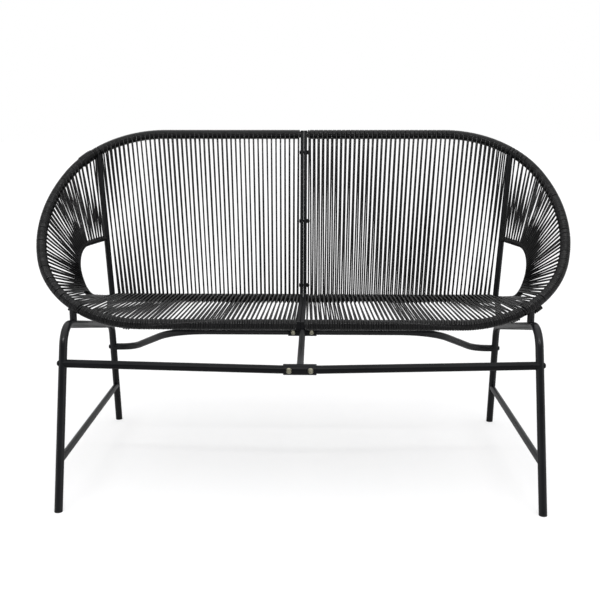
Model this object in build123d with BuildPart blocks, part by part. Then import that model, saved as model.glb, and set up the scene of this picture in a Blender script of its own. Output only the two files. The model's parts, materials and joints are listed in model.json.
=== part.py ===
from build123d import *
import math
import os

os.makedirs("parts", exist_ok=True)

# Overall size. X runs to the right seen from the front, Y runs to the back, Z is up.
overall_width = 1355.6
overall_depth = 672.0
overall_height = 850.0

# Cord and the wrap that it makes round a tube.
cord_diameter = 4.0
cord_side_count = 6
wrap_clearance = 0.1
wrap_thickness = 4.2

# Welded tubes are coped with this gap, and loose pieces have this fit.
weld_gap = 0.2
fit_gap = 0.1
tube_wall = 1.2

# Oval rim in one sloping plane.
rim_tube_diameter = 17.0
rim_front_height = 410.0
rim_front_reach = 192.5
rim_side_radius = 450.0
rim_back_radius = 260.0
rim_front_radius = 285.0
seat_corner_angle = 44.0
back_corner_angle = 43.0

# Centre bars, one on each side of the middle.
centre_bar_width = 9.0
centre_bar_depth = 16.0
centre_bar_edge_radius = 2.0
centre_bar_bend = 18.0
centre_bar_overrun = 9.5
centre_split = 0.5
centre_bolt_heights = (427.0, 601.0, 788.0)
centre_bolt_diameter = 6.0
centre_bolt_head_diameter = 12.0
centre_bolt_head_height = 2.5
centre_bolt_tail = 8.0
centre_nut_width = 10.0
centre_nut_height = 5.0

# Crease tube between back and seat, and the post and hoop at its end.
crease_setback = 214.0
crease_height = 391.0
crease_end_x = 548.0
crease_wrap_end_x = 523.0
post_diameter = 16.0
post_foot_x = 532.0
hoop_rod_diameter = 6.0
hoop_bend = 68.0
hoop_height_share = 0.413
hoop_upper_x = 599.0
hoop_upper_y = 60.0
hoop_upper_z = 552.0
hoop_lower_x = 569.0
hoop_lower_y = 77.0
hoop_lower_z = 421.0
hoop_foot_x = 538.0
hoop_wrap_setback = 9.6
hoop_foot_setback = 12.6

# Strands.
first_strand_x = 14.5
back_strand_count = 45
seat_strand_count = 46
seat_end_strand_count = 5
arm_strand_count = 38
strand_end_share = 0.2
arm_rear_strand_count = 8
arm_rear_hoop_share = 0.33
arm_hoop_share = 0.86

# Leg frames.
leg_tube_diameter = 19.0
leg_bend = 50.0
leg_foot_x = 552.0
leg_splay_share = 0.0183
front_leg_share = 0.229
front_leg_height = 418.0
rear_foot_y = 320.0
rear_leg_share = 0.2235
rear_leg_height = 305.6
low_rail_height = 113.0
low_rail_diameter = 16.0
stub_diameter = 17.0
front_stub_angle = 37.2
foot_lip = 3.0
foot_insert_height = 16.0

# Stretchers and the connector in the middle.
stretcher_height = 330.0
front_stretcher_reach = 292.0
front_stretcher_bend_x = 45.0
front_stretcher_bend = 60.0
rear_stretcher_height = 237.0
rear_stretcher_outer_x = 488.0
rear_stretcher_inner_x = 342.0
rear_stretcher_y = 76.0
rear_outer_bend = 75.0
rear_inner_bend = 170.0
stretcher_split = 2.0
sleeve_diameter = 25.0
sleeve_length = 75.0
strut_diameter = 16.0
connector_bolt_x = 24.3
connector_bolt_diameter = 8.0
connector_head_diameter = 14.0
connector_head_height = 4.0
connector_socket_width = 5.0
connector_socket_depth = 2.2
connector_bolt_tail = 9.0
connector_nut_width = 13.0
connector_nut_height = 6.5
leg_bolt_head_height = 3.0
leg_bolt_head_gap = 0.3
leg_bolt_reach = 9.0
stretcher_plug_length = 10.0
stretcher_plug_setback = 0.8

cord_radius = cord_diameter / 2
rim_tube_radius = rim_tube_diameter / 2
wrap_inner = rim_tube_radius + wrap_clearance
wrap_outer = wrap_inner + wrap_thickness
strand_offset = wrap_inner + wrap_thickness / 2
hoop_rod_radius = hoop_rod_diameter / 2
hoop_wrap_inner = hoop_rod_radius + wrap_clearance
hoop_wrap_outer = hoop_wrap_inner + wrap_thickness
hoop_strand_offset = hoop_wrap_inner + wrap_thickness / 2
leg_radius = leg_tube_diameter / 2
post_radius = post_diameter / 2
stub_radius = stub_diameter / 2
low_rail_radius = low_rail_diameter / 2
sleeve_radius = sleeve_diameter / 2
sleeve_inner = leg_radius + weld_gap
bar_centre_x = centre_split / 2 + centre_bar_width / 2
bar_outside_x = centre_split / 2 + centre_bar_width
half_start_x = bar_outside_x + weld_gap

# Rim plane: x to the side, t up the slope from the front of the rim.
rim_front_y = -rim_front_reach
rim_front_z = rim_front_height
rim_top_y = overall_depth / 2 - wrap_outer
rim_top_z = overall_height - wrap_outer
rim_run = rim_top_y - rim_front_y
rim_rise = rim_top_z - rim_front_z
rim_length = math.hypot(rim_run, rim_rise)
rim_middle = rim_length / 2
side_centre_x = overall_width / 2 - wrap_outer - rim_side_radius


def in_rim_plane(x, t):
    return Vector(x, rim_front_y + rim_run * t / rim_length, rim_front_z + rim_rise * t / rim_length)


# A point on an arc whose centre lies at centre_x and at a height above the rim's middle.
def on_rim_arc(centre_x, centre_t, radius, angle):
    turn = math.radians(angle)
    return in_rim_plane(centre_x + radius * math.cos(turn), rim_middle + centre_t + radius * math.sin(turn))


# The angle where a corner arc takes over from the side arc.
def handover(radius):
    return math.degrees(math.asin((rim_middle - radius) / (rim_side_radius - radius)))


front_centre_t = rim_front_radius - rim_middle
back_centre_t = rim_middle - rim_back_radius
front_turn = handover(rim_front_radius)
back_turn = handover(rim_back_radius)
front_centre_x = side_centre_x + (rim_side_radius - rim_front_radius) * math.cos(math.radians(front_turn))
back_centre_x = side_centre_x + (rim_side_radius - rim_back_radius) * math.cos(math.radians(back_turn))


def rim_arc(centre_x, centre_t, radius, first, last):
    return (
        on_rim_arc(centre_x, centre_t, radius, first),
        on_rim_arc(centre_x, centre_t, radius, (first + last) / 2),
        on_rim_arc(centre_x, centre_t, radius, last),
    )


seat_turn_end = seat_corner_angle - 90
back_turn_start = 90 - back_corner_angle

with BuildLine() as seat_rim_path:
    Line(in_rim_plane(half_start_x, 0), in_rim_plane(front_centre_x, 0))
    ThreePointArc(*rim_arc(front_centre_x, front_centre_t, rim_front_radius, -90, seat_turn_end))

with BuildLine() as arm_rim_path:
    ThreePointArc(*rim_arc(front_centre_x, front_centre_t, rim_front_radius, seat_turn_end, -front_turn))
    ThreePointArc(*rim_arc(side_centre_x, 0, rim_side_radius, -front_turn, back_turn))
    ThreePointArc(*rim_arc(back_centre_x, back_centre_t, rim_back_radius, back_turn, back_turn_start))

with BuildLine() as back_rim_path:
    ThreePointArc(*rim_arc(back_centre_x, back_centre_t, rim_back_radius, back_turn_start, 90))
    Line(in_rim_plane(back_centre_x, rim_length), in_rim_plane(half_start_x, rim_length))

with BuildLine() as rim_path:
    add(seat_rim_path.line)
    add(arm_rim_path.line)
    add(back_rim_path.line)


# A plain round rod between two points.
def rod(start, end, radius):
    axis = end - start
    round_bar = Cylinder(
        radius, axis.length, align=(Align.CENTER, Align.CENTER, Align.MIN), mode=Mode.PRIVATE
    )
    return Plane(origin=start, z_dir=axis) * round_bar


# A stretch of cord, as a faceted bar just inside the cord's round.
def cord_bar(start, end):
    axis = end - start
    section = Plane(origin=start, z_dir=axis) * RegularPolygon(cord_radius, cord_side_count, mode=Mode.PRIVATE)
    return extrude(section, amount=axis.length, mode=Mode.PRIVATE)


def across(path):
    return Plane(origin=path @ 0, z_dir=path % 0)


# The spot at a distance along a path, counted from the path's end at the origin.
def along(path, origin, distance):
    if (path @ 0 - origin).length < (path @ 1 - origin).length:
        spot = path.position_at(distance, position_mode=PositionMode.LENGTH)
        return spot, path.tangent_at(distance, position_mode=PositionMode.LENGTH)
    spot = path.position_at(path.length - distance, position_mode=PositionMode.LENGTH)
    return spot, -path.tangent_at(path.length - distance, position_mode=PositionMode.LENGTH)


# A strand's line leaves one round form and meets the next on the same side of both.
def strand(start, end, start_offset, end_offset, layer, stop_short=0):
    start_point, start_heading = start
    end_point, end_heading = end
    run = end_point - start_point
    first = start_point + run.cross(start_heading).normalized() * start_offset * layer
    last = end_point + run.cross(end_heading).normalized() * end_offset * layer
    last = last - (last - first).normalized() * stop_short
    return first, last


crease_start = Vector(half_start_x, crease_setback, crease_height)
crease_end = Vector(crease_end_x, crease_setback, crease_height)
crease_wrap_end = Vector(crease_wrap_end_x, crease_setback, crease_height)
post_foot = Vector(post_foot_x, crease_setback, crease_height)
post_top = on_rim_arc(back_centre_x, back_centre_t, rim_back_radius, back_turn_start)
hoop_start = post_foot + (post_top - post_foot) * hoop_height_share
hoop_upper = Vector(hoop_upper_x, hoop_upper_y, hoop_upper_z)
hoop_lower = Vector(hoop_lower_x, hoop_lower_y, hoop_lower_z)
hoop_end = Vector(hoop_foot_x, crease_setback, crease_height)
hoop_wrap_start = hoop_start + (hoop_upper - hoop_start).normalized() * hoop_wrap_setback
hoop_wrap_end = hoop_end + (hoop_lower - hoop_end).normalized() * hoop_foot_setback

with BuildLine() as hoop_path:
    FilletPolyline(hoop_start, hoop_upper, hoop_lower, hoop_end, radius=hoop_bend)

with BuildLine() as hoop_wrap_path:
    FilletPolyline(hoop_wrap_start, hoop_upper, hoop_lower, hoop_wrap_end, radius=hoop_bend)

hoop_wrap_edges = hoop_wrap_path.edges().sort_by_distance(hoop_wrap_end)

with BuildLine() as arm_hoop_path:
    add(hoop_wrap_edges[1:])

with BuildLine() as seat_hoop_path:
    add(hoop_wrap_edges[0])

# Leg frame axis points. The frame leans inward as it rises.
front_foot_y = leg_radius * math.hypot(1, front_leg_share) - overall_depth / 2


def on_front_leg(z):
    return Vector(leg_foot_x - leg_splay_share * z, front_foot_y + front_leg_share * z, z)


def on_rear_leg(z):
    return Vector(leg_foot_x - leg_splay_share * z, rear_foot_y - rear_leg_share * z, z)


front_corner = on_front_leg(front_leg_height)
rear_corner = on_rear_leg(rear_leg_height)


def on_top_bar(y):
    return front_corner + (rear_corner - front_corner) * ((y - front_corner.Y) / (rear_corner.Y - front_corner.Y))


front_stub_top = on_rim_arc(front_centre_x, front_centre_t, rim_front_radius, front_stub_angle - 90)
front_stub_foot = on_top_bar(front_stub_top.Y)
rear_stub_foot = on_top_bar(crease_setback)
rear_stub_top = Vector(hoop_foot_x, crease_setback, crease_height)

front_leg_joint = on_front_leg(stretcher_height)
front_bend_point = Vector(front_stretcher_bend_x, -front_stretcher_reach, stretcher_height)
front_inner_end = Vector(stretcher_split / 2, -front_stretcher_reach, stretcher_height)
rear_leg_joint = on_rear_leg(rear_stretcher_height)
rear_outer_point = Vector(rear_stretcher_outer_x, rear_leg_joint.Y, rear_stretcher_height)
rear_inner_point = Vector(rear_stretcher_inner_x, rear_stretcher_y, stretcher_height)
rear_inner_end = Vector(stretcher_split / 2, rear_stretcher_y, stretcher_height)

# Cutters for the coped ends.
floor_drop = leg_tube_diameter
front_leg_cutter = rod(on_front_leg(-floor_drop), front_corner, leg_radius + weld_gap)
rear_leg_cutter = rod(on_rear_leg(-floor_drop), rear_corner, leg_radius + weld_gap)
top_bar_cutter = rod(front_corner, rear_corner, leg_radius + weld_gap)
crease_cutter = rod(crease_start, crease_end, rim_tube_radius + weld_gap)
post_cutter = rod(post_foot, post_top, post_radius + weld_gap)
front_stub_cutter = rod(front_stub_foot, front_stub_top, stub_radius + weld_gap)
rear_stub_cutter = rod(rear_stub_foot, rear_stub_top, stub_radius + weld_gap)
sleeve_half = Vector(sleeve_length / 2, 0, 0)
front_sleeve_middle = Vector(0, -front_stretcher_reach, stretcher_height)
rear_sleeve_middle = Vector(0, rear_stretcher_y, stretcher_height)
front_sleeve_cutter = rod(
    front_sleeve_middle - sleeve_half, front_sleeve_middle + sleeve_half, sleeve_radius + weld_gap
)
rear_sleeve_cutter = rod(
    rear_sleeve_middle - sleeve_half, rear_sleeve_middle + sleeve_half, sleeve_radius + weld_gap
)

# Bolt axes. Each plane lies under a bolt's head, with Z along the shank.
front_bolt_run = (front_bend_point - front_leg_joint).normalized()
rear_bolt_run = (rear_outer_point - rear_leg_joint).normalized()
leg_bolt_seats = []
for joint, heading in ((front_leg_joint, front_bolt_run), (rear_leg_joint, rear_bolt_run)):
    for side in (1, -1):
        seat_point = joint - heading * (leg_radius + leg_bolt_head_gap)
        leg_bolt_seats.append(
            Plane(
                origin=(seat_point.X * side, seat_point.Y, seat_point.Z),
                z_dir=(heading.X * side, heading.Y, heading.Z),
            )
        )

connector_bolt_seats = []
for sleeve_y in (-front_stretcher_reach, rear_stretcher_y):
    for bolt_x in (-connector_bolt_x, connector_bolt_x):
        connector_bolt_seats.append(
            Plane(origin=(bolt_x, sleeve_y - sleeve_radius, stretcher_height), z_dir=(0, 1, 0))
        )

back_slope = (rim_top_y - crease_setback) / (rim_top_z - crease_height)
centre_bolt_seats = []
for bolt_height in centre_bolt_heights:
    bolt_y = crease_setback + back_slope * (bolt_height - crease_height)
    centre_bolt_seats.append(Plane(origin=(-bar_outside_x, bolt_y, bolt_height), z_dir=(1, 0, 0)))


def bored(planes, diameter, length):
    holes = []
    for seat in planes:
        bore = Cylinder(
            diameter / 2 + fit_gap, length, align=(Align.CENTER, Align.CENTER, Align.CENTER), mode=Mode.PRIVATE
        )
        holes.append(seat * bore)
    return holes


leg_bores = bored(leg_bolt_seats, connector_bolt_diameter, 5 * leg_tube_diameter)
connector_bores = bored(connector_bolt_seats, connector_bolt_diameter, 3 * sleeve_diameter)
centre_bores = bored(centre_bolt_seats, centre_bolt_diameter, 5 * centre_bar_width)

# Strands of each panel, in two layers.
back_strands = []
seat_strands = []
arm_strands = []
crossing_cutters = []
back_rim = back_rim_path.wire()
seat_rim = seat_rim_path.wire()
arm_rim = arm_rim_path.wire()
arm_hoop = arm_hoop_path.wire()
seat_hoop = seat_hoop_path.wire()
to_side = Vector(1, 0, 0)
rim_back_middle = in_rim_plane(half_start_x, rim_length)
rim_front_middle = in_rim_plane(half_start_x, 0)
first_distance = first_strand_x - half_start_x
back_pitch = (back_rim.length - first_distance) / back_strand_count
crease_pitch_back = (crease_wrap_end_x - first_strand_x) / back_strand_count
sleeve_stop = math.sqrt((wrap_outer + fit_gap) ** 2 - (strand_offset - cord_radius) ** 2) + fit_gap
crossing_stop = strand_offset + cord_diameter + weld_gap
for count in range(back_strand_count):
    spot, heading = along(back_rim, rim_back_middle, first_distance + count * back_pitch)
    foot = Vector(first_strand_x + count * crease_pitch_back, crease_setback, crease_height)
    for layer, stop_short in ((-1, sleeve_stop), (1, crossing_stop)):
        line = strand((spot, heading), (foot, to_side), strand_offset, strand_offset, layer, stop_short)
        back_strands.append(cord_bar(*line))

all_seat_count = seat_strand_count + seat_end_strand_count
seat_pitch = (seat_rim.length - first_distance) / all_seat_count
crease_pitch_seat = (crease_wrap_end_x - first_strand_x) / seat_strand_count
for count in range(all_seat_count):
    spot, heading = along(seat_rim, rim_front_middle, first_distance + count * seat_pitch)
    for layer in (-1, 1):
        if count < seat_strand_count:
            foot = Vector(first_strand_x + count * crease_pitch_seat, crease_setback, crease_height)
            end = (foot, to_side)
            end_offset = strand_offset
        else:
            share = (count - seat_strand_count + strand_end_share) / seat_end_strand_count
            end = along(seat_hoop, hoop_wrap_end, seat_hoop.length * share)
            end_offset = hoop_strand_offset
        line = strand((spot, heading), end, strand_offset, end_offset, layer)
        seat_strands.append(cord_bar(*line))
        if count >= seat_strand_count:
            crossing_cutters.append(rod(*line, cord_radius + fit_gap))

for count in range(arm_strand_count):
    share = (count + 0.5) / arm_strand_count
    start = along(arm_rim, post_top, arm_rim.length * share)
    if count < arm_rear_strand_count:
        hoop_share = arm_rear_hoop_share * (count + 0.5) / arm_rear_strand_count
    else:
        rest = (count + 0.5 - arm_rear_strand_count) / (arm_strand_count - arm_rear_strand_count)
        hoop_share = arm_rear_hoop_share + (arm_hoop_share - arm_rear_hoop_share) * rest
    end = along(arm_hoop, hoop_wrap_start, arm_hoop.length * hoop_share)
    for layer in (-1, 1):
        line = strand(start, end, strand_offset, hoop_strand_offset, layer)
        arm_strands.append(cord_bar(*line))

with BuildPart() as right_rim_tube:
    with BuildSketch(across(rim_path.line)):
        Circle(rim_tube_radius)
        Circle(rim_tube_radius - tube_wall, mode=Mode.SUBTRACT)
    sweep(path=rim_path.line)

with BuildPart() as right_centre_bar:
    bar_corner = Vector(bar_centre_x, crease_setback, crease_height)
    bar_top = Vector(bar_centre_x, rim_top_y, rim_top_z)
    bar_front = Vector(bar_centre_x, rim_front_y, rim_front_z)
    bar_top = bar_top + (bar_top - bar_corner).normalized() * centre_bar_overrun
    bar_front = bar_front + (bar_front - bar_corner).normalized() * centre_bar_overrun
    with BuildLine() as bar_path:
        FilletPolyline(bar_top, bar_corner, bar_front, radius=centre_bar_bend)
    with BuildSketch(Plane(origin=bar_top, x_dir=(1, 0, 0), z_dir=bar_corner - bar_top)):
        RectangleRounded(centre_bar_width, centre_bar_depth, centre_bar_edge_radius)
    sweep(path=bar_path.line)
    add(centre_bores, mode=Mode.SUBTRACT)

with BuildPart() as right_crease_tube:
    with BuildSketch(Plane(origin=crease_start, z_dir=(1, 0, 0))):
        Circle(rim_tube_radius)
        Circle(rim_tube_radius - tube_wall, mode=Mode.SUBTRACT)
    extrude(amount=crease_end_x - half_start_x)

with BuildPart() as right_side_post:
    with BuildLine() as post_path:
        Line(post_foot, post_top)
    with BuildSketch(across(post_path.line)):
        Circle(post_radius)
        Circle(post_radius - tube_wall, mode=Mode.SUBTRACT)
    sweep(path=post_path.line)
    with BuildSketch(across(rim_path.line)):
        Circle(rim_tube_radius + weld_gap)
    sweep(path=rim_path.line, mode=Mode.SUBTRACT)
    add(crease_cutter, mode=Mode.SUBTRACT)

with BuildPart() as right_arm_hoop:
    with BuildSketch(across(hoop_path.line)):
        Circle(hoop_rod_radius)
    sweep(path=hoop_path.line)
    add(crease_cutter, mode=Mode.SUBTRACT)
    add(post_cutter, mode=Mode.SUBTRACT)
    add(rear_stub_cutter, mode=Mode.SUBTRACT)

with BuildPart() as right_back_cords:
    with BuildSketch(across(back_rim_path.line)):
        Circle(wrap_outer)
        Circle(wrap_inner, mode=Mode.SUBTRACT)
    sweep(path=back_rim_path.line)
    add(back_strands)
    add(post_cutter, mode=Mode.SUBTRACT)

with BuildPart() as right_seat_cords:
    with BuildSketch(across(seat_rim_path.line)):
        Circle(wrap_outer)
        Circle(wrap_inner, mode=Mode.SUBTRACT)
    sweep(path=seat_rim_path.line)
    with BuildSketch(Plane(origin=crease_start, z_dir=(1, 0, 0))):
        Circle(wrap_outer)
        Circle(wrap_inner, mode=Mode.SUBTRACT)
    extrude(amount=crease_wrap_end_x - half_start_x)
    with BuildSketch(across(seat_hoop_path.line)):
        Circle(hoop_wrap_outer)
        Circle(hoop_wrap_inner, mode=Mode.SUBTRACT)
    sweep(path=seat_hoop_path.line)
    add(seat_strands)
    add(front_stub_cutter, mode=Mode.SUBTRACT)
    with BuildSketch(across(arm_hoop_path.line)):
        Circle(hoop_wrap_outer + fit_gap)
    sweep(path=arm_hoop_path.line, mode=Mode.SUBTRACT)

with BuildPart() as cut_arm_cords:
    with BuildSketch(across(arm_rim_path.line)):
        Circle(wrap_outer)
        Circle(wrap_inner, mode=Mode.SUBTRACT)
    sweep(path=arm_rim_path.line)
    with BuildSketch(across(arm_hoop_path.line)):
        Circle(hoop_wrap_outer)
        Circle(hoop_wrap_inner, mode=Mode.SUBTRACT)
    sweep(path=arm_hoop_path.line)
    add(arm_strands)
    add(crossing_cutters, mode=Mode.SUBTRACT)
    with BuildSketch(across(arm_hoop_path.line)):
        Circle(hoop_wrap_inner)
    sweep(path=arm_hoop_path.line, mode=Mode.SUBTRACT)
    add(post_cutter, mode=Mode.SUBTRACT)

# The panel is the largest solid, without the crumb of wrap that the cuts leave beside it.
with BuildPart() as right_arm_cords:
    add(cut_arm_cords.part.solids().sort_by(SortBy.VOLUME)[-1])

with BuildPart() as right_leg_frame:
    with BuildLine() as leg_path:
        FilletPolyline(
            on_front_leg(-floor_drop), front_corner, rear_corner, on_rear_leg(-floor_drop), radius=leg_bend
        )
    with BuildSketch(across(leg_path.line)):
        Circle(leg_radius)
        Circle(leg_radius - tube_wall, mode=Mode.SUBTRACT)
    sweep(path=leg_path.line)
    split(bisect_by=Plane.XY.offset(foot_lip), keep=Keep.TOP)
    add(leg_bores, mode=Mode.SUBTRACT)

with BuildPart() as right_low_rail:
    with BuildLine() as low_rail_path:
        Line(on_front_leg(low_rail_height), on_rear_leg(low_rail_height))
    with BuildSketch(across(low_rail_path.line)):
        Circle(low_rail_radius)
        Circle(low_rail_radius - tube_wall, mode=Mode.SUBTRACT)
    sweep(path=low_rail_path.line)
    add(front_leg_cutter, mode=Mode.SUBTRACT)
    add(rear_leg_cutter, mode=Mode.SUBTRACT)

with BuildPart() as right_front_stub:
    with BuildLine() as front_stub_path:
        Line(front_stub_foot, front_stub_top)
    with BuildSketch(across(front_stub_path.line)):
        Circle(stub_radius)
        Circle(stub_radius - tube_wall, mode=Mode.SUBTRACT)
    sweep(path=front_stub_path.line)
    with BuildSketch(across(seat_rim_path.line)):
        Circle(rim_tube_radius + weld_gap)
    sweep(path=seat_rim_path.line, mode=Mode.SUBTRACT)
    add(top_bar_cutter, mode=Mode.SUBTRACT)

with BuildPart() as right_rear_stub:
    with BuildLine() as rear_stub_path:
        Line(rear_stub_foot, rear_stub_top)
    with BuildSketch(across(rear_stub_path.line)):
        Circle(stub_radius)
        Circle(stub_radius - tube_wall, mode=Mode.SUBTRACT)
    sweep(path=rear_stub_path.line)
    add(crease_cutter, mode=Mode.SUBTRACT)
    add(top_bar_cutter, mode=Mode.SUBTRACT)

with BuildPart() as right_front_stretcher:
    with BuildLine() as front_stretcher_path:
        FilletPolyline(front_leg_joint, front_bend_point, front_inner_end, radius=front_stretcher_bend)
    with BuildSketch(across(front_stretcher_path.line)):
        Circle(leg_radius)
        Circle(leg_radius - tube_wall, mode=Mode.SUBTRACT)
    sweep(path=front_stretcher_path.line)
    add(front_leg_cutter, mode=Mode.SUBTRACT)
    add(connector_bores, mode=Mode.SUBTRACT)

with BuildPart() as right_rear_stretcher:
    with BuildLine() as rear_stretcher_path:
        FilletPolyline(
            rear_leg_joint,
            rear_outer_point,
            rear_inner_point,
            rear_inner_end,
            radius=(rear_outer_bend, rear_inner_bend),
        )
    with BuildSketch(across(rear_stretcher_path.line)):
        Circle(leg_radius)
        Circle(leg_radius - tube_wall, mode=Mode.SUBTRACT)
    sweep(path=rear_stretcher_path.line)
    add(rear_leg_cutter, mode=Mode.SUBTRACT)
    add(connector_bores, mode=Mode.SUBTRACT)

plug_inner = leg_radius - tube_wall - fit_gap


def foot_plug_rods(leg_point):
    lip = rod(leg_point(-floor_drop), leg_point(floor_drop), leg_radius)
    insert = rod(leg_point(-floor_drop), leg_point(foot_insert_height), plug_inner)
    return lip, insert


front_lip, front_insert = foot_plug_rods(on_front_leg)
rear_lip, rear_insert = foot_plug_rods(on_rear_leg)

with BuildPart() as right_front_foot:
    add(front_lip)
    split(bisect_by=Plane.XY.offset(foot_lip), keep=Keep.BOTTOM)
    add(front_insert)
    split(bisect_by=Plane.XY, keep=Keep.TOP)

with BuildPart() as right_rear_foot:
    add(rear_lip)
    split(bisect_by=Plane.XY.offset(foot_lip), keep=Keep.BOTTOM)
    add(rear_insert)
    split(bisect_by=Plane.XY, keep=Keep.TOP)

with BuildPart() as front_sleeve:
    with BuildSketch(Plane(origin=front_sleeve_middle, z_dir=(1, 0, 0))):
        Circle(sleeve_radius)
        Circle(sleeve_inner, mode=Mode.SUBTRACT)
    extrude(amount=sleeve_length / 2, both=True)
    add(connector_bores, mode=Mode.SUBTRACT)

with BuildPart() as rear_sleeve:
    with BuildSketch(Plane(origin=rear_sleeve_middle, z_dir=(1, 0, 0))):
        Circle(sleeve_radius)
        Circle(sleeve_inner, mode=Mode.SUBTRACT)
    extrude(amount=sleeve_length / 2, both=True)
    add(connector_bores, mode=Mode.SUBTRACT)

with BuildPart() as connector_strut:
    with BuildSketch(Plane(origin=front_sleeve_middle, z_dir=(0, 1, 0))):
        Circle(strut_diameter / 2)
        Circle(strut_diameter / 2 - tube_wall, mode=Mode.SUBTRACT)
    extrude(amount=front_stretcher_reach + rear_stretcher_y)
    add(front_sleeve_cutter, mode=Mode.SUBTRACT)
    add(rear_sleeve_cutter, mode=Mode.SUBTRACT)

# Bolts have a shank from under the head, a domed head before it and a hexagon socket.
under_head = (Align.CENTER, Align.CENTER, Align.MIN)
over_head = (Align.CENTER, Align.CENTER, Align.MAX)
socket_radius = connector_socket_width / 2 / math.cos(math.radians(30))
head_top_share = 0.68

with BuildPart() as connector_bolts:
    with Locations(*connector_bolt_seats):
        Cylinder(connector_bolt_diameter / 2, sleeve_diameter + connector_bolt_tail, align=under_head)
        Cone(
            connector_head_diameter / 2 * head_top_share,
            connector_head_diameter / 2,
            connector_head_height,
            align=over_head,
        )
    with BuildSketch(*[seat.offset(-connector_head_height) for seat in connector_bolt_seats]):
        RegularPolygon(socket_radius, 6)
    extrude(amount=connector_socket_depth, mode=Mode.SUBTRACT)

with BuildPart() as connector_nuts:
    with BuildSketch(*[seat.offset(sleeve_diameter) for seat in connector_bolt_seats]):
        RegularPolygon(connector_nut_width / 2 / math.cos(math.radians(30)), 6)
        Circle(connector_bolt_diameter / 2 + fit_gap, mode=Mode.SUBTRACT)
    extrude(amount=connector_nut_height)

with BuildPart() as centre_bolts:
    with Locations(*centre_bolt_seats):
        Cylinder(centre_bolt_diameter / 2, 2 * bar_outside_x + centre_bolt_tail, align=under_head)
        Cone(
            centre_bolt_head_diameter / 2 * head_top_share,
            centre_bolt_head_diameter / 2,
            centre_bolt_head_height,
            align=over_head,
        )

with BuildPart() as centre_nuts:
    with BuildSketch(*[seat.offset(2 * bar_outside_x) for seat in centre_bolt_seats]):
        RegularPolygon(centre_nut_width / 2 / math.cos(math.radians(30)), 6)
        Circle(centre_bolt_diameter / 2 + fit_gap, mode=Mode.SUBTRACT)
    extrude(amount=centre_nut_height)

with BuildPart() as leg_bolts:
    with Locations(*leg_bolt_seats):
        Cylinder(connector_bolt_diameter / 2, leg_tube_diameter + leg_bolt_reach, align=under_head)
        Cone(
            connector_head_diameter / 2 * head_top_share,
            connector_head_diameter / 2,
            leg_bolt_head_height,
            align=over_head,
        )

with BuildPart() as stretcher_plugs:
    with BuildSketch(*[seat.offset(leg_tube_diameter + stretcher_plug_setback) for seat in leg_bolt_seats]):
        Circle(plug_inner)
        Circle(connector_bolt_diameter / 2 + fit_gap, mode=Mode.SUBTRACT)
    extrude(amount=stretcher_plug_length)

sided = {
    "rim_tube": right_rim_tube,
    "centre_bar": right_centre_bar,
    "crease_tube": right_crease_tube,
    "side_post": right_side_post,
    "arm_hoop": right_arm_hoop,
    "back_cords": right_back_cords,
    "seat_cords": right_seat_cords,
    "arm_cords": right_arm_cords,
    "leg_frame": right_leg_frame,
    "low_rail": right_low_rail,
    "front_stub": right_front_stub,
    "rear_stub": right_rear_stub,
    "front_stretcher": right_front_stretcher,
    "rear_stretcher": right_rear_stretcher,
    "front_foot": right_front_foot,
    "rear_foot": right_rear_foot,
}

for name, piece in sided.items():
    piece.part.label = "right_" + name
    export_step(piece.part, "parts/right_" + name + ".step")
    with BuildPart() as left_piece:
        mirror(piece.part, about=Plane.YZ)
    left_piece.part.label = "left_" + name
    export_step(left_piece.part, "parts/left_" + name + ".step")

middle = {
    "front_sleeve": front_sleeve,
    "rear_sleeve": rear_sleeve,
    "connector_strut": connector_strut,
    "connector_bolts": connector_bolts,
    "connector_nuts": connector_nuts,
    "centre_bolts": centre_bolts,
    "centre_nuts": centre_nuts,
    "leg_bolts": leg_bolts,
    "stretcher_plugs": stretcher_plugs,
}

for name, piece in middle.items():
    piece.part.label = name
    export_step(piece.part, "parts/" + name + ".step")
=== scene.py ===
import json
import math
import random

import bpy
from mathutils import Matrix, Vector


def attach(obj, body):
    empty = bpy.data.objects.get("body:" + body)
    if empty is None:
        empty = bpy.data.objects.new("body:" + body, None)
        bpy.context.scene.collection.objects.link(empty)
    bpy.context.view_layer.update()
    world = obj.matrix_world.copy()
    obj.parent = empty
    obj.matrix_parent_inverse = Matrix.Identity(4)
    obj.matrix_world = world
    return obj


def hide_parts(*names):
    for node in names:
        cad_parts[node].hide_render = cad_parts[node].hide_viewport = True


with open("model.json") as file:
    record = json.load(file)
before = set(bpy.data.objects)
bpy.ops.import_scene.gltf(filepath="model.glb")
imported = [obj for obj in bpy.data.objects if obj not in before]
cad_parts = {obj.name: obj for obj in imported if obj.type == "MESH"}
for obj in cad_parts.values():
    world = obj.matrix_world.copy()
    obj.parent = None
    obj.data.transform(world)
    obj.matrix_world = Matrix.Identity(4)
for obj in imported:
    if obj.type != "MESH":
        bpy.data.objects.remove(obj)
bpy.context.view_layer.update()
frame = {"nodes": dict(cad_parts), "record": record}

bpy.ops.object.select_all(action="DESELECT")
nodes = frame["nodes"]
print("frame loaded with", len(nodes), "nodes")

# The camera stands a little right of the middle, just above the top rim, and looks down.
cameraSettings = {
    "location": (0.036, -2.239, 0.885),
    "tilt": 78.51,
    "turn": 1.05,
    "lens": 54.0,
    "sensor": 36.0,
    "farLimit": 60.0,
}
bpy.ops.object.camera_add(
    location=cameraSettings["location"],
    rotation=(math.radians(cameraSettings["tilt"]), 0, math.radians(cameraSettings["turn"])),
)
camera = bpy.context.object
camera.name = "photoCamera"
camera.data.lens = cameraSettings["lens"]
camera.data.sensor_width = cameraSettings["sensor"]
camera.data.clip_end = cameraSettings["farLimit"]
bpy.context.scene.camera = camera
print("camera placed")


# Materials

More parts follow.
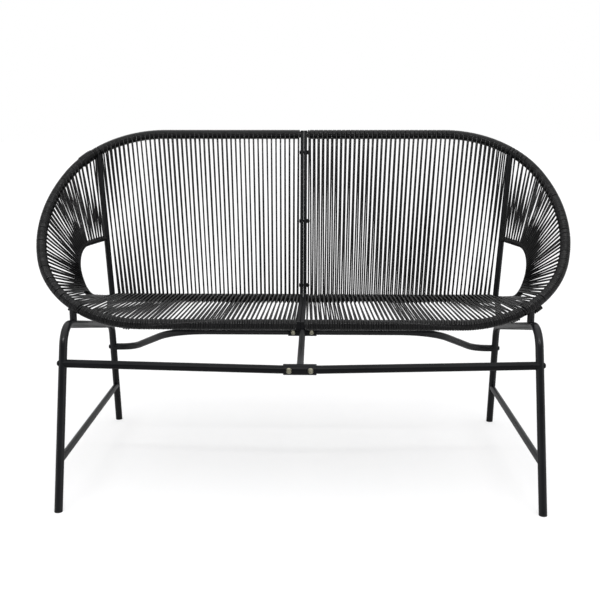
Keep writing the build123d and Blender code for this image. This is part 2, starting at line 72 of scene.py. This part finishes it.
def newMaterial(name):
    material = bpy.data.materials.new(name)
    material.use_nodes = True
    tree = material.node_tree
    shader = tree.nodes["Principled BSDF"]
    place = tree.nodes.new("ShaderNodeTexCoord")
    return material, tree, shader, place.outputs["Object"]


# How the noise is spread over colours and roughness, the same for every finish.
grain = {
    "broadDetail": 3.0, "fineDetail": 2.0,
    "darkUpTo": 0.35, "lightFrom": 0.65,
    "smoothUpTo": 0.3, "roughFrom": 0.7,
}


def addNoise(tree, place, scale, detail):
    noise = tree.nodes.new("ShaderNodeTexNoise")
    noise.inputs["Scale"].default_value = scale
    noise.inputs["Detail"].default_value = detail
    tree.links.new(place, noise.inputs["Vector"])
    return noise.outputs["Fac"]


def addRamp(tree, factor, dark, light):
    ramp = tree.nodes.new("ShaderNodeValToRGB")
    ramp.color_ramp.elements[0].position = grain["darkUpTo"]
    ramp.color_ramp.elements[0].color = (*dark, 1)
    ramp.color_ramp.elements[1].position = grain["lightFrom"]
    ramp.color_ramp.elements[1].color = (*light, 1)
    tree.links.new(factor, ramp.inputs["Fac"])
    return ramp.outputs["Color"]


def addRange(tree, factor, low, high):
    spread = tree.nodes.new("ShaderNodeMapRange")
    spread.inputs["From Min"].default_value = grain["smoothUpTo"]
    spread.inputs["From Max"].default_value = grain["roughFrom"]
    spread.inputs["To Min"].default_value = low
    spread.inputs["To Max"].default_value = high
    tree.links.new(factor, spread.inputs["Value"])
    return spread.outputs["Result"]


def addBump(tree, shader, height, strength, distance):
    bump = tree.nodes.new("ShaderNodeBump")
    bump.inputs["Strength"].default_value = strength
    bump.inputs["Distance"].default_value = distance
    tree.links.new(height, bump.inputs["Height"])
    tree.links.new(bump.outputs["Normal"], shader.inputs["Normal"])


def makeFinish(name, look):
    material, tree, shader, place = newMaterial(name)
    broad = addNoise(tree, place, look["broadScale"], grain["broadDetail"])
    fine = addNoise(tree, place, look["fineScale"], grain["fineDetail"])
    colour = addRamp(tree, broad, look["dark"], look["light"])
    tree.links.new(colour, shader.inputs["Base Color"])
    roughness = addRange(tree, broad, *look["roughness"])
    tree.links.new(roughness, shader.inputs["Roughness"])
    addBump(tree, shader, fine, look["bump"], look["bumpDepth"])
    shader.inputs["Metallic"].default_value = look["metallic"]
    shader.inputs["Specular IOR Level"].default_value = look["specular"]
    shader.inputs["Coat Weight"].default_value = look.get("coat", 0.0)
    shader.inputs["Coat Roughness"].default_value = look.get("coatRoughness", 0.3)
    material.diffuse_color = (*look["light"], 1)
    return material


finishes = {
    "powder_coated_steel": {
        "dark": (0.0045, 0.0048, 0.006), "light": (0.0085, 0.0091, 0.011),
        "broadScale": 9.0, "fineScale": 1500.0, "roughness": (0.25, 0.34),
        "bump": 0.2, "bumpDepth": 0.00012, "metallic": 0.0, "specular": 0.46,
    },
    # A darker copy of the powder coat with less shine: its darker colour is painted shade.
    "dull_painted_shade_steel": {
        "dark": (0.0035, 0.0037, 0.0046), "light": (0.0065, 0.007, 0.0085),
        "broadScale": 9.0, "fineScale": 1500.0, "roughness": (0.34, 0.44),
        "bump": 0.2, "bumpDepth": 0.00012, "metallic": 0.0, "specular": 0.2,
    },
    # A lighter grey copy of the powder coat: its colour is painted sheen, for the light the
    # up-facing strut catches.
    "painted_sheen_steel": {
        "dark": (0.034, 0.035, 0.038), "light": (0.050, 0.0515, 0.055),
        "broadScale": 9.0, "fineScale": 1500.0, "roughness": (0.32, 0.42),
        "bump": 0.2, "bumpDepth": 0.00012, "metallic": 0.0, "specular": 0.5,
    },
    "cord": {
        "dark": (0.0035, 0.0035, 0.004), "light": (0.008, 0.008, 0.0085),
        "broadScale": 38.0, "fineScale": 700.0, "roughness": (0.26, 0.38),
        "bump": 0.25, "bumpDepth": 0.00015, "metallic": 0.0, "specular": 0.33,
        "coat": 0.24, "coatRoughness": 0.13,
    },
    "foot_plastic": {
        "dark": (0.008, 0.008, 0.009), "light": (0.014, 0.014, 0.015),
        "broadScale": 60.0, "fineScale": 1100.0, "roughness": (0.5, 0.62),
        "bump": 0.3, "bumpDepth": 0.0002, "metallic": 0.0, "specular": 0.45,
    },
    "yellow_zinc": {
        "dark": (0.30, 0.29, 0.21), "light": (0.62, 0.60, 0.47),
        "broadScale": 170.0, "fineScale": 900.0, "roughness": (0.22, 0.34),
        "bump": 0.15, "bumpDepth": 0.0001, "metallic": 1.0, "specular": 0.5,
    },
    "black_fasteners": {
        "dark": (0.014, 0.014, 0.016), "light": (0.03, 0.03, 0.033),
        "broadScale": 120.0, "fineScale": 1200.0, "roughness": (0.32, 0.45),
        "bump": 0.2, "bumpDepth": 0.0001, "metallic": 0.35, "specular": 0.5,
    },
}
materials = {name: makeFinish(name, look) for name, look in finishes.items()}

# The bars, sleeves and front stretchers shine less than the other tubes and take a darker copy of
# the powder coat, whose darker colour is painted shade; the strut takes a lighter grey copy, whose
# colour is painted sheen for the light its up-facing tube catches.
ownFinish = {
    "left_centre_bar": "dull_painted_shade_steel", "right_centre_bar": "dull_painted_shade_steel",
    "front_sleeve": "dull_painted_shade_steel", "rear_sleeve": "dull_painted_shade_steel",
    "left_front_stretcher": "dull_painted_shade_steel", "right_front_stretcher": "dull_painted_shade_steel",
    "connector_strut": "painted_sheen_steel",
}

for part in frame["record"]["subparts"]:
    node = nodes[part["node"]]
    node.data.materials.clear()
    finish = ownFinish.get(part["node"], part["material_slot"])
    node.data.materials.append(materials[finish])
print("materials made and given to the nodes")


# Lines that the cord follows, in metres, for the right half

rim = {
    "frontY": -0.1925, "frontZ": 0.410,
    "topY": 0.3232, "topZ": 0.8372,
    "frontRadius": 0.285, "sideRadius": 0.450, "backRadius": 0.260,
    "sideCentreX": 0.215, "startX": 0.00945,
    "seatEndAngle": -46.0, "backStartAngle": 47.0,
}
hoop = {
    "heightShare": 0.413, "bend": 0.068,
    "upper": (0.599, 0.060, 0.552),
    "lower": (0.569, 0.077, 0.421),
    "foot": (0.538, 0.214, 0.391),
    "startSetback": 0.0096, "endSetback": 0.0126,
}
crease = {"y": 0.214, "z": 0.391, "startX": 0.00945, "endX": 0.523, "postX": 0.532}

sameSpot = 1e-6  # points nearer than this count as one
slopeRun = rim["topY"] - rim["frontY"]
slopeRise = rim["topZ"] - rim["frontZ"]
slopeLength = math.hypot(slopeRun, slopeRise)


# The rim lies in one sloping plane, and up is measured along its slope from the front rim.
def inRimPlane(x, up):
    y = rim["frontY"] + slopeRun * up / slopeLength
    z = rim["frontZ"] + slopeRise * up / slopeLength
    return Vector((x, y, z))


# An arc in the rim's plane, with about one point for each degree.
def arcPoints(centreX, centreUp, radius, first, last):
    steps = max(2, round(abs(last - first)))
    points = []
    for step in range(steps + 1):
        turn = math.radians(first + (last - first) * step / steps)
        x = centreX + radius * math.cos(turn)
        points.append(inRimPlane(x, centreUp + radius * math.sin(turn)))
    return points


# Where a corner's arc goes over into the side's wide arc.
def handoverAngle(radius):
    return math.degrees(math.asin((slopeLength / 2 - radius) / (rim["sideRadius"] - radius)))


def cornerCentreX(radius):
    handover = math.radians(handoverAngle(radius))
    return rim["sideCentreX"] + (rim["sideRadius"] - radius) * math.cos(handover)


# A line is its points with the distance of each from the start.
def measured(points):
    lengths = [0.0]
    kept = [points[0]]
    for point in points[1:]:
        gap = (point - kept[-1]).length
        if gap > sameSpot:
            kept.append(point)
            lengths.append(lengths[-1] + gap)
    return {"points": kept, "lengths": lengths, "total": lengths[-1]}


def spotOn(line, distance):
    distance = min(max(distance, 0.0), line["total"])
    low, high = 0, len(line["lengths"]) - 1
    while high - low > 1:
        middle = (low + high) // 2
        if line["lengths"][middle] <= distance:
            low = middle
        else:
            high = middle
    share = (distance - line["lengths"][low]) / (line["lengths"][high] - line["lengths"][low])
    return line["points"][low].lerp(line["points"][high], share)


def along(line, distance, reach=0.003):
    before = spotOn(line, distance - reach)
    after = spotOn(line, distance + reach)
    return spotOn(line, distance), (after - before).normalized()


# A line through the corners, each rounded by an arc with the radius bend.
def roundedLine(corners, bend, steps=24):
    points = [corners[0]]
    for before, corner, after in zip(corners, corners[1:], corners[2:]):
        inward = (before - corner).normalized()
        outward = (after - corner).normalized()
        opening = inward.angle(outward)
        setback = bend / math.tan(opening / 2)
        centre = corner + (inward + outward).normalized() * bend / math.sin(opening / 2)
        first = corner + inward * setback - centre
        last = corner + outward * setback - centre
        sweep = math.pi - opening
        for step in range(steps + 1):
            share = step / steps
            arm = first * math.sin((1 - share) * sweep) + last * math.sin(share * sweep)
            points.append(centre + arm / math.sin(sweep))
    points.append(corners[-1])
    return points


frontCentreX = cornerCentreX(rim["frontRadius"])
backCentreX = cornerCentreX(rim["backRadius"])
frontHandover = -handoverAngle(rim["frontRadius"])
backHandover = handoverAngle(rim["backRadius"])
frontUp = rim["frontRadius"]
backUp = slopeLength - rim["backRadius"]

seatRim = measured(
    [inRimPlane(rim["startX"], 0), inRimPlane(frontCentreX, 0)]
    + arcPoints(frontCentreX, frontUp, rim["frontRadius"], -90, rim["seatEndAngle"])
)
backRim = measured(
    [inRimPlane(rim["startX"], slopeLength), inRimPlane(backCentreX, slopeLength)]
    + arcPoints(backCentreX, backUp, rim["backRadius"], 90, rim["backStartAngle"])
)
armRim = measured(
    arcPoints(backCentreX, backUp, rim["backRadius"], rim["backStartAngle"], backHandover)
    + arcPoints(rim["sideCentreX"], slopeLength / 2, rim["sideRadius"], backHandover, frontHandover)
    + arcPoints(frontCentreX, frontUp, rim["frontRadius"], frontHandover, rim["seatEndAngle"])
)
creaseLine = measured([
    Vector((crease["startX"], crease["y"], crease["z"])),
    Vector((crease["endX"], crease["y"], crease["z"])),
])

postFoot = Vector((crease["postX"], crease["y"], crease["z"]))
postTop = backRim["points"][-1]
hoopStart = postFoot.lerp(postTop, hoop["heightShare"])
hoopUpper = Vector(hoop["upper"])
hoopLower = Vector(hoop["lower"])
hoopFoot = Vector(hoop["foot"])
hoopLine = roundedLine([
    hoopStart + (hoopUpper - hoopStart).normalized() * hoop["startSetback"],
    hoopUpper,
    hoopLower,
    hoopFoot + (hoopLower - hoopFoot).normalized() * hoop["endSetback"],
], hoop["bend"])
armHoop = measured(hoopLine[:-1])  # from the post round both bends
seatHoop = measured(hoopLine[:-3:-1])  # the straight run, from its foot at the crease
print("rim, hoop and crease lines worked out")


# Cord

cord = {
    "radius": 0.00225,
    "rimRadius": 0.0107,  # from the rim's middle to the middle of the cord on it
    "hoopRadius": 0.0052,
    "bevelResolution": 2,  # gives the cord eight sides
    "stepsPerTurn": 14,
    "leastSteps": 3,
    "wobble": 0.00018,
    "bow": 0.0007,
    "bowShares": (0.2, 0.4, 0.6, 0.8),
    "seed": 41,
}
fullTurn = 2 * math.pi
halfTurn = 0.5  # in turns: the cord leaves a line on the side opposite to where it came


# The spot on a line where a strand starts or ends, and the side on which the front strand lies.
def stationFrame(line, distance, otherSpot, fromRim):
    spot, heading = along(line, distance)
    run = otherSpot - spot if fromRim else spot - otherSpot
    side = run.cross(heading).normalized()
    return spot, side


# Turns round a line from one distance to another, with a small random slip along it.
def coil(line, first, last, firstSide, lastSide, firstAngle, lastAngle, radius, chance):
    turns = abs(lastAngle - firstAngle) / fullTurn
    steps = max(cord["leastSteps"], round(turns * cord["stepsPerTurn"]))
    points = []
    for step in range(steps + 1):
        share = step / steps
        angle = firstAngle + (lastAngle - firstAngle) * share
        slip = chance.uniform(-1, 1) * cord["wobble"] if 0 < step < steps else 0
        spot, heading = along(line, first + (last - first) * share + slip)
        side = firstSide.lerp(lastSide, share)
        side = (side - heading * side.dot(heading)).normalized()
        travel = heading.cross(side)
        points.append(spot + (side * math.cos(angle) + travel * math.sin(angle)) * radius)
    return points


# A strand is straight apart from a slight bow.
def strand(first, last, chance):
    sideways = Vector([chance.uniform(-1, 1) for axis in range(3)]) * cord["bow"]
    return [
        first.lerp(last, share) + sideways * math.sin(math.pi * share)
        for share in cord["bowShares"]
    ]


# The cord goes down in front, round the far line, up behind and round the rim to the next place.
def windPanel(rimLine, farLine, places, look, chance):
    points = []
    before = None
    for place in places:
        farSpot = spotOn(farLine, place["far"])
        rimSpot = spotOn(rimLine, place["rim"])
        leaveSpot, leaveSide = stationFrame(rimLine, place["rim"], farSpot, True)
        downSpot, downSide = stationFrame(farLine, place["far"], rimSpot, False)
        if before is None:
            points += coil(
                rimLine, cord["radius"], place["rim"], leaveSide, leaveSide,
                -look["startTurns"] * fullTurn, 0, cord["rimRadius"], chance,
            )
        else:
            points += coil(
                rimLine, before["rim"], place["rim"], before["side"], leaveSide,
                -(look["rimTurns"] + halfTurn) * fullTurn, 0, cord["rimRadius"], chance,
            )
        leave = leaveSpot + leaveSide * cord["rimRadius"]
        arrive = downSpot + downSide * look["farRadius"]
        points += strand(leave, arrive, chance)
        backRimSpot = spotOn(rimLine, place["rimBack"])
        upSpot, upSide = stationFrame(farLine, place["farBack"], backRimSpot, False)
        farTurns = place.get("turns", look["farTurns"])
        points += coil(
            farLine, place["far"], place["farBack"], downSide, upSide,
            0, (farTurns + halfTurn) * fullTurn, look["farRadius"], chance,
        )
        backSpot, backSide = stationFrame(rimLine, place["rimBack"], upSpot, True)
        leave = upSpot - upSide * look["farRadius"]
        arrive = backSpot - backSide * cord["rimRadius"]
        points += strand(leave, arrive, chance)
        before = {"rim": place["rimBack"], "side": backSide}
    points += coil(
        rimLine, before["rim"], rimLine["total"] - cord["radius"], before["side"], before["side"],
        -(look["rimTurns"] + halfTurn) * fullTurn, 0, cord["rimRadius"], chance,
    )
    return points


# Each run becomes a curve with the cord's thickness, and the curves become one mesh.
def cordPiece(name, runs, mirrored):
    curve = bpy.data.curves.new(name, "CURVE")
    curve.dimensions = "3D"
    curve.twist_mode = "MINIMUM"
    for points in runs:
        spline = curve.splines.new("POLY")
        spline.points.add(len(points) - 1)
        for number, point in enumerate(points):
            x = -point.x if mirrored else point.x
            spline.points[number].co = (x, point.y, point.z, 1)
    curve.bevel_depth = cord["radius"]
    curve.bevel_resolution = cord["bevelResolution"]
    curve.use_fill_caps = True
    piece = bpy.data.objects.new(name, curve)
    bpy.context.scene.collection.objects.link(piece)
    bpy.ops.object.select_all(action="DESELECT")
    piece.select_set(True)
    bpy.context.view_layer.objects.active = piece
    bpy.ops.object.convert(target="MESH")
    bpy.ops.object.shade_smooth()
    piece = bpy.context.object
    piece.name = name
    piece.data.materials.clear()
    piece.data.materials.append(materials["cord"])
    bpy.ops.object.select_all(action="DESELECT")
    return piece


def dressCords(name, node, runs, mirrored):
    piece = cordPiece(name, runs, mirrored)
    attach(piece, "root")
    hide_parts(node)
    print(name, "wound with", len(piece.data.polygons), "faces")


backPanel = {
    "count": 45, "first": 0.00505, "footFirst": 0.00505, "footEnd": 0.51355,
    "rimTurns": 3, "farTurns": 0, "startTurns": 0.6, "farRadius": 0.0107,
    "rearSlip": {"left": 0.0026, "right": 0.0070},
    "rimSlip": {"left": 0.0010, "right": 0.0032},
    "footSlip": 0.0006, "slipFade": 0.3, "slipEnd": 0.95, "leastSlip": 0.15,
}
seatPanel = {
    "count": 46, "endCount": 5, "first": 0.00505, "endShare": 0.2,
    "rimTurns": 2, "farTurns": 1, "startTurns": 0.6, "farRadius": 0.0107,
    "rimSlip": 0.0004, "leastFoot": 0.0026, "footShift": 0.5,
    "frontSlip": 0.0018, "rearSlip": 0.0024,
    "endTurns": 1, "endRadius": 0.0052, "endSlip": 0.003,
}
armPanel = {
    "count": 38, "hoopShare": 0.86, "rearCount": 8, "rearShare": 0.33,
    "rimTurns": 3, "farTurns": 1, "startTurns": 2.5, "farRadius": 0.0052,
    "rimSlip": 0.0018, "hoopSlip": 0.0012, "rearRimSlip": 0.0045,
    "spread": 0.36, "restSetback": 0.002, "restPitch": 0.0046,
}


# Where each strand meets its two lines: rim and far in front, rimBack and farBack behind.
def backPlaces(side, chance):
    rimPitch = (backRim["total"] - backPanel["first"]) / backPanel["count"]
    footPitch = (backPanel["footEnd"] - backPanel["footFirst"]) / backPanel["count"]
    places = []
    for number in range(backPanel["count"]):
        rimSpot = backPanel["first"] + number * rimPitch
        foot = backPanel["footFirst"] + number * footPitch
        foot += chance.uniform(-1, 1) * backPanel["footSlip"]
        fade = (backPanel["slipEnd"] - number / backPanel["count"]) / backPanel["slipFade"]
        fade = min(1, max(backPanel["leastSlip"], fade))  # the slip fades toward the side
        places.append({
            "rim": rimSpot,
            "rimBack": rimSpot + backPanel["rimSlip"][side] * fade,
            "far": foot,
            "farBack": foot + backPanel["rearSlip"][side] * fade,
        })
    return places


# The seat strands end between the back strands on the crease tube.
def seatPlaces():
    total = seatPanel["count"] + seatPanel["endCount"]
    rimPitch = (seatRim["total"] - seatPanel["first"]) / total
    footPitch = (backPanel["footEnd"] - backPanel["footFirst"]) / backPanel["count"]
    places = []
    for number in range(seatPanel["count"]):
        rimSpot = seatPanel["first"] + number * rimPitch
        foot = backPanel["footFirst"] + (number - seatPanel["footShift"]) * footPitch
        foot = max(seatPanel["leastFoot"], foot)
        places.append({
            "rim": rimSpot,
            "rimBack": rimSpot + seatPanel["rimSlip"],
            "far": foot - seatPanel["frontSlip"],
            "farBack": foot + seatPanel["rearSlip"],
        })
    return places


# The last few seat strands end on the hoop's straight run.
def seatEndPlaces():
    total = seatPanel["count"] + seatPanel["endCount"]
    rimPitch = (seatRim["total"] - seatPanel["first"]) / total
    places = []
    for number in range(seatPanel["endCount"]):
        rimSpot = seatPanel["first"] + (number + seatPanel["count"]) * rimPitch
        share = (number + seatPanel["endShare"]) / seatPanel["endCount"]
        spot = seatHoop["total"] * share
        places.append({
            "rim": rimSpot,
            "rimBack": rimSpot + seatPanel["rimSlip"],
            "far": max(spot - seatPanel["endSlip"], 0.0),
            "farBack": spot + seatPanel["endSlip"],
        })
    return places


# On the hoop the first strands, above the opening, stand wider than the others.
def armPlaces(chance):
    rimPitch = armRim["total"] / armPanel["count"]
    rearPitch = armHoop["total"] * armPanel["rearShare"] / armPanel["rearCount"]
    frontPitch = armHoop["total"] * (armPanel["hoopShare"] - armPanel["rearShare"])
    frontPitch /= armPanel["count"] - armPanel["rearCount"]
    places = []
    for number in range(armPanel["count"]):
        if number < armPanel["rearCount"]:
            pitch = rearPitch
            spot = (number + 0.5) * rearPitch
        else:
            pitch = frontPitch
            spot = armHoop["total"] * armPanel["rearShare"]
            spot += (number + 0.5 - armPanel["rearCount"]) * frontPitch
        rimSpot = (number + 0.5) * rimPitch + chance.uniform(-1, 1) * armPanel["rimSlip"]
        spot += chance.uniform(-1, 1) * armPanel["hoopSlip"]
        reach = pitch * armPanel["spread"]
        turns = round(2 * reach / (2 * cord["radius"]) - halfTurn)
        places.append({
            "rim": rimSpot,
            "rimBack": rimSpot + chance.uniform(0, 1) * armPanel["rearRimSlip"],
            "far": max(spot - reach, 0.0),
            "farBack": spot + reach,
            "turns": max(armPanel["farTurns"], turns),
        })
    return places


# Turns with no strands, where a wrap only covers its tube.
def plainCoil(line, first, last, side, pitch, radius, chance):
    turns = (last - first) / pitch
    return coil(line, first, last, side, side, 0, turns * fullTurn, radius, chance)


# Ends of cord that are knotted under the front rim. A knot is a short coil beside it: "at" is the
# distance along the rim, "offset" that from its middle, and "out" leans it from straight down
# toward the side.
knots = {
    "left": [
        {"at": 0.399, "offset": 0.0108, "radius": 0.0022, "turns": 2, "out": 0.0},
        {"at": 0.542, "offset": 0.0135, "radius": 0.0028, "turns": 4, "out": 0.5},
    ],
    "right": [
        {"at": 0.496, "offset": 0.0124, "radius": 0.0026, "turns": 4, "out": 0.0},
        {"at": 0.560, "offset": 0.0150, "radius": 0.0042, "turns": 4, "out": 0.6},
    ],
}

# One place at the upper left corner where the wrap is doubled.
doubleWrap = {"side": "left", "from": 0.022, "to": 0.060, "radius": 0.0127}


def knotRun(knot):
    spot, heading = along(seatRim, knot["at"])
    down = Vector((knot["out"], 0, -1))
    down = (down - heading * down.dot(heading)).normalized()
    across = heading.cross(down)
    middle = spot + down * knot["offset"]
    length = (knot["turns"] + halfTurn) * cord["radius"] * 2
    points = []
    steps = knot["turns"] * cord["stepsPerTurn"]
    for step in range(steps + 1):
        share = step / steps
        angle = share * knot["turns"] * fullTurn
        arm = (down * math.cos(angle) + across * math.sin(angle)) * knot["radius"]
        points.append(middle + arm + heading * (share - 0.5) * length)
    return points


upward = Vector((0, 0, 1))
for side, mirrored in (("left", True), ("right", False)):
    chance = random.Random(cord["seed"] + mirrored)
    backRun = windPanel(backRim, creaseLine, backPlaces(side, chance), backPanel, chance)
    dressCords(side + "BackCordWinding", side + "_back_cords", [backRun], mirrored)

    seatRun = windPanel(seatRim, creaseLine, seatPlaces(), seatPanel, chance)
    endLook = dict(seatPanel, farTurns=seatPanel["endTurns"], farRadius=seatPanel["endRadius"])
    endRun = windPanel(seatRim, seatHoop, seatEndPlaces(), endLook, chance)
    knotRuns = [knotRun(knot) for knot in knots[side]]
    seatRuns = [seatRun, endRun] + knotRuns
    dressCords(side + "SeatCordWinding", side + "_seat_cords", seatRuns, mirrored)

    armRun = windPanel(armRim, armHoop, armPlaces(chance), armPanel, chance)
    hoopRest = plainCoil(
        armHoop, armHoop["total"] * armPanel["hoopShare"],
        armHoop["total"] - armPanel["restSetback"],
        upward, armPanel["restPitch"], cord["hoopRadius"], chance,
    )
    armRuns = [armRun, hoopRest]
    if side == doubleWrap["side"]:
        armRuns.append(plainCoil(
            armRim, doubleWrap["from"], doubleWrap["to"],
            upward, cord["radius"] * 2, doubleWrap["radius"], chance,
        ))
    dressCords(side + "ArmCordWinding", side + "_arm_cords", armRuns, mirrored)


# Floor, light and background

# The floor is grey to light and shadow, and only camera rays see it lifted to a pale tone.
floorLook = {
    "size": 60.0,
    "colour": (0.36, 0.36, 0.364),
    "roughness": 0.85,
    "specular": 0.1,
    "lift": 0.62,
}
bpy.ops.mesh.primitive_plane_add(size=floorLook["size"], location=(0, 0, 0))
floor = bpy.context.object
floor.name = "paleFloor"
floorMaterial, tree, shader, place = newMaterial("paleFloor")
shader.inputs["Base Color"].default_value = (*floorLook["colour"], 1)
shader.inputs["Roughness"].default_value = floorLook["roughness"]
shader.inputs["Specular IOR Level"].default_value = floorLook["specular"]
lift = tree.nodes.new("ShaderNodeEmission")
lift.inputs["Color"].default_value = (1, 1, 1, 1)
rays = tree.nodes.new("ShaderNodeLightPath")
seen = tree.nodes.new("ShaderNodeMath")
seen.operation = "MULTIPLY"
seen.inputs[1].default_value = floorLook["lift"]
tree.links.new(rays.outputs["Is Camera Ray"], seen.inputs[0])
tree.links.new(seen.outputs[0], lift.inputs["Strength"])
both = tree.nodes.new("ShaderNodeAddShader")
tree.links.new(shader.outputs["BSDF"], both.inputs[0])
tree.links.new(lift.outputs["Emission"], both.inputs[1])
tree.links.new(both.outputs["Shader"], tree.nodes["Material Output"].inputs["Surface"])
floor.data.materials.append(floorMaterial)

# The studio is bright above, at both sides and behind, and dim where the camera stands.
studio = {
    "dim": 0.07,
    "above": {"axis": "Z", "from": 0.45, "to": 0.90, "light": 0.85},
    "behind": {"axis": "Y", "from": 0.35, "to": 0.90, "light": 0.42},
    "leftSide": {"axis": "X", "from": -0.70, "to": -0.95, "light": 0.75},
    "rightSide": {"axis": "X", "from": 0.70, "to": 0.95, "light": 0.75},
    "cameraWhite": 1.0,
}
world = bpy.data.worlds.new("studioWorld")
world.use_nodes = True
bpy.context.scene.world = world
tree = world.node_tree
place = tree.nodes.new("ShaderNodeTexCoord")
split = tree.nodes.new("ShaderNodeSeparateXYZ")
tree.links.new(place.outputs["Generated"], split.inputs["Vector"])
total = None
for name in ("above", "behind", "leftSide", "rightSide"):
    zone = studio[name]
    step = tree.nodes.new("ShaderNodeMapRange")
    step.interpolation_type = "SMOOTHSTEP"
    step.inputs["From Min"].default_value = zone["from"]
    step.inputs["From Max"].default_value = zone["to"]
    step.inputs["To Min"].default_value = 0
    step.inputs["To Max"].default_value = zone["light"]
    tree.links.new(split.outputs[zone["axis"]], step.inputs["Value"])
    add = tree.nodes.new("ShaderNodeMath")
    add.operation = "ADD"
    tree.links.new(step.outputs["Result"], add.inputs[0])
    if total is None:
        add.inputs[1].default_value = studio["dim"]
    else:
        tree.links.new(total, add.inputs[1])
    total = add.outputs[0]
sky = tree.nodes["Background"]
sky.inputs["Color"].default_value = (1, 1, 1, 1)
tree.links.new(total, sky.inputs["Strength"])
white = tree.nodes.new("ShaderNodeBackground")
white.inputs["Color"].default_value = (1, 1, 1, 1)
white.inputs["Strength"].default_value = studio["cameraWhite"]
rays = tree.nodes.new("ShaderNodeLightPath")
swap = tree.nodes.new("ShaderNodeMixShader")
tree.links.new(rays.outputs["Is Camera Ray"], swap.inputs["Fac"])
tree.links.new(sky.outputs["Background"], swap.inputs[1])
tree.links.new(white.outputs["Background"], swap.inputs[2])
tree.links.new(swap.outputs["Shader"], tree.nodes["World Output"].inputs["Surface"])

# A wide soft lamp overhead lights the floor, and a long strip behind the camera draws the
# highlights.
lamps = {
    "overhead": {
        "kind": "SUN", "energy": 2.0, "place": (0, 0, 4), "turn": (12, 0, 10), "spread": 75,
    },
    "strip": {
        "kind": "AREA", "energy": 110.0, "place": (0, -4.9, 4.6), "turn": (50, 0, 0),
        "size": (6.0, 0.25),
    },
}
for name, lamp in lamps.items():
    turn = [math.radians(angle) for angle in lamp["turn"]]
    bpy.ops.object.light_add(type=lamp["kind"], location=lamp["place"], rotation=turn)
    light = bpy.context.object
    light.name = name + "Lamp"
    light.data.energy = lamp["energy"]
    if lamp["kind"] == "SUN":
        light.data.angle = math.radians(lamp["spread"])
        light.visible_glossy = False  # it only lights the floor and the matt surfaces
    else:
        light.data.shape = "RECTANGLE"
        light.data.size = lamp["size"][0]
        light.data.size_y = lamp["size"][1]

view = bpy.context.scene.view_settings
view.view_transform = "Standard"
print("floor, light and background set")
